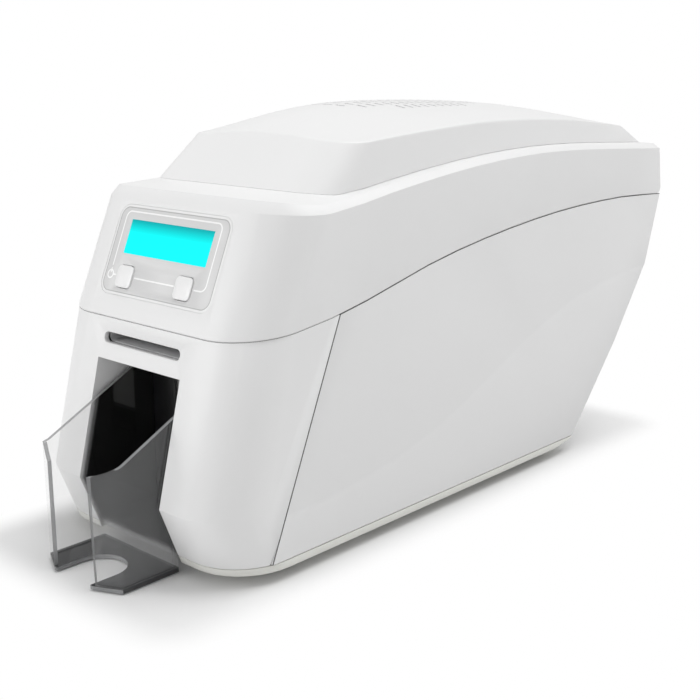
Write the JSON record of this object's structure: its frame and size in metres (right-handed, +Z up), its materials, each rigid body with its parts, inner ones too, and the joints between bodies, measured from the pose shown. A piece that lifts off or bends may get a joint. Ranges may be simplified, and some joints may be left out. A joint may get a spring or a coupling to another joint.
{
  "type": "id card printer",
  "caption": "Desktop plastic-card printer with a rear-hinged cover and raised vented hood, sloping control face, card slot, clear output stacker and slide-out card magazine.",
  "frame": {"origin": "under the middle of the whole machine, on the surface it stands on", "axes": "+X to the machine's left-hand side as it faces forward (right as seen from the front), +Y towards the back, +Z up"},
  "size_m": [0.1514, 0.4258, 0.2226],
  "materials": {
    "white_plastic": "fine satin moulded",
    "ivory_plastic": "fine satin moulded",
    "black_plastic": "satin moulded",
    "grey_plastic": "satin moulded",
    "spool_plastic": "smooth moulded",
    "panel_grey": "satin printed film",
    "button_plastic": "smooth moulded",
    "smoked_clear": "smoked clear polycarbonate",
    "clear_window": "clear acrylic",
    "motor_black": "black enamel",
    "steel": "bright ground",
    "zinc_sheet": "zinc plated sheet",
    "aluminium": "extruded",
    "ceramic": "glazed",
    "brass": "cut teeth",
    "rubber": "moulded",
    "roller_rubber": "ground",
    "cleaning_blue": "tacky silicone",
    "ribbon_dye": "thin dyed film",
    "circuit_board": "solder mask",
    "card_white": "laminated card",
    "display_glow": "lit display"
  },
  "bodies": {
    "chassis": {"base_tray": "ivory_plastic", "rubber_feet": "rubber", "front_bezel": "white_plastic", "card_slot_liner": "black_plastic", "side_panel_right": "white_plastic", "side_panel_left": "white_plastic", "rear_panel": "white_plastic", "hinge_brackets": "steel", "hinge_pins": "steel", "chassis_plate_right": "zinc_sheet", "chassis_plate_left": "zinc_sheet", "tie_rods": "steel", "card_guide_lower": "grey_plastic", "card_guide_upper": "grey_plastic", "drive_belt": "rubber", "drive_motor": "motor_black", "ribbon_motor": "steel", "ribbon_guide_bars": "steel", "ribbon_film": "ribbon_dye", "main_board": "circuit_board", "data_sockets": "zinc_sheet", "power_socket": "black_plastic", "board_screws": "steel"},
    "cover": {"cover_shell": "white_plastic", "hood": "white_plastic", "panel_overlay": "panel_grey", "display_window": "clear_window", "display_screen": "display_glow", "display_module": "black_plastic", "panel_board": "circuit_board", "head_carrier": "zinc_sheet", "head_springs": "steel", "fan_frame": "black_plastic"},
    "left_button": {"left_button": "button_plastic"},
    "right_button": {"right_button": "button_plastic"},
    "printhead": {"head_bracket": "zinc_sheet", "heat_sink": "aluminium", "head_element": "ceramic"},
    "fan": {"fan_rotor": "black_plastic"},
    "front_roller": {"front_roller": "roller_rubber"},
    "middle_roller": {"middle_roller": "roller_rubber"},
    "rear_roller": {"rear_roller": "roller_rubber"},
    "platen": {"platen_shaft": "steel", "platen_sleeve": "roller_rubber"},
    "front_pinch": {"front_pinch_roller": "grey_plastic"},
    "middle_pinch": {"middle_pinch_roller": "grey_plastic"},
    "rear_pinch": {"rear_pinch_roller": "grey_plastic"},
    "cleaner": {"cleaning_roller": "cleaning_blue"},
    "picker": {"pick_shaft": "steel", "pick_sleeve": "roller_rubber"},
    "motor_rotor": {"motor_pinion": "brass"},
    "supply_spool": {"ribbon_supply_spool": "spool_plastic"},
    "takeup_spool": {"ribbon_takeup_spool": "spool_plastic"},
    "ribbon_rotor": {"ribbon_pinion": "brass"},
    "magazine": {"card_magazine": "black_plastic", "pusher_spring": "steel"},
    "stacker": {"output_stacker": "smoked_clear"},
    "pusher": {"pusher_plate": "grey_plastic", "card_stack": "card_white"},
    "latch": {"cover_latch": "grey_plastic"}
  },
  "joints": [
    {"name": "cover_hinge", "type": "hinge", "parent": "chassis", "child": "cover", "pos_m": [0, 0.2095, 0.1622], "axis": [-1, 0, 0], "range_deg": [0, 65]},
    {"name": "left_button_press", "type": "slide", "parent": "cover", "child": "left_button", "axis": [0, 0.9212, -0.3891], "range_m": [0, 0.0006], "stiffness_N_per_m": 400},
    {"name": "right_button_press", "type": "slide", "parent": "cover", "child": "right_button", "axis": [0, 0.9212, -0.3891], "range_m": [0, 0.0006], "stiffness_N_per_m": 400},
    {"name": "head_lift", "type": "slide", "parent": "cover", "child": "printhead", "axis": [0, 0, 1], "range_m": [0, 0.0025], "stiffness_N_per_m": 2000, "springref_m": -0.002, "deforming": ["head_springs"]},
    {"name": "fan_spin", "type": "hinge", "parent": "cover", "child": "fan", "pos_m": [0, 0.0661, 0.18], "axis": [0, 0, 1], "continuous": true},
    {"name": "platen_spin", "type": "hinge", "parent": "chassis", "child": "platen", "pos_m": [0, -0.0099, 0.1011], "axis": [1, 0, 0], "continuous": true},
    {"name": "front_roller_spin", "type": "hinge", "parent": "chassis", "child": "front_roller", "pos_m": [0, -0.1249, 0.1011], "axis": [1, 0, 0], "continuous": true},
    {"name": "middle_roller_spin", "type": "hinge", "parent": "chassis", "child": "middle_roller", "pos_m": [0, -0.0399, 0.1011], "axis": [1, 0, 0], "continuous": true},
    {"name": "rear_roller_spin", "type": "hinge", "parent": "chassis", "child": "rear_roller", "pos_m": [0, 0.0701, 0.1011], "axis": [1, 0, 0], "continuous": true},
    {"name": "front_pinch_spin", "type": "hinge", "parent": "chassis", "child": "front_pinch", "pos_m": [0, -0.1249, 0.113], "axis": [1, 0, 0], "continuous": true},
    {"name": "middle_pinch_spin", "type": "hinge", "parent": "chassis", "child": "middle_pinch", "pos_m": [0, -0.0399, 0.113], "axis": [1, 0, 0], "continuous": true},
    {"name": "rear_pinch_spin", "type": "hinge", "parent": "chassis", "child": "rear_pinch", "pos_m": [0, 0.0701, 0.113], "axis": [1, 0, 0], "continuous": true},
    {"name": "cleaning_roller_spin", "type": "hinge", "parent": "chassis", "child": "cleaner", "pos_m": [0, -0.0919, 0.1135], "axis": [1, 0, 0], "continuous": true},
    {"name": "pick_roller_spin", "type": "hinge", "parent": "chassis", "child": "picker", "pos_m": [0, -0.0599, 0.0996], "axis": [1, 0, 0], "continuous": true},
    {"name": "motor_spin", "type": "hinge", "parent": "chassis", "child": "motor_rotor", "pos_m": [0, 0.00857, 0.0691], "axis": [1, 0, 0], "continuous": true},
    {"name": "supply_spin", "type": "hinge", "parent": "chassis", "child": "supply_spool", "pos_m": [0, 0.0461, 0.136], "axis": [1, 0, 0], "continuous": true},
    {"name": "takeup_spin", "type": "hinge", "parent": "chassis", "child": "takeup_spool", "pos_m": [0, -0.0619, 0.136], "axis": [1, 0, 0], "continuous": true},
    {"name": "ribbon_motor_spin", "type": "hinge", "parent": "chassis", "child": "ribbon_rotor", "pos_m": [0, -0.08084, 0.12911], "axis": [1, 0, 0], "continuous": true},
    {"name": "magazine_slide", "type": "slide", "parent": "chassis", "child": "magazine", "axis": [0, -1, 0], "range_m": [0, 0.15]},
    {"name": "stacker_slide", "type": "slide", "parent": "magazine", "child": "stacker", "axis": [0, -1, 0], "range_m": [0, 0.06]},
    {"name": "pusher_slide", "type": "slide", "parent": "magazine", "child": "pusher", "axis": [0, 0, 1], "range_m": [-0.025, 0], "stiffness_N_per_m": 150, "springref_m": 0.03, "deforming": ["pusher_spring"]},
    {"name": "latch_swing", "type": "hinge", "parent": "cover", "child": "latch", "pos_m": [0, -0.0959, 0.16], "axis": [1, 0, 0], "range_deg": [-8, 0]}
  ],
  "couplings": [
    {"joint": "front_roller_spin", "follows": "platen_spin", "ratio": 1},
    {"joint": "middle_roller_spin", "follows": "platen_spin", "ratio": 1},
    {"joint": "rear_roller_spin", "follows": "platen_spin", "ratio": 1},
    {"joint": "front_pinch_spin", "follows": "platen_spin", "ratio": -1.4444},
    {"joint": "middle_pinch_spin", "follows": "platen_spin", "ratio": -1.4444},
    {"joint": "rear_pinch_spin", "follows": "platen_spin", "ratio": -1.4444},
    {"joint": "cleaning_roller_spin", "follows": "platen_spin", "ratio": -1.3},
    {"joint": "motor_spin", "follows": "platen_spin", "ratio": -3.6},
    {"joint": "ribbon_motor_spin", "follows": "takeup_spin", "ratio": -2.5714}
  ]
}
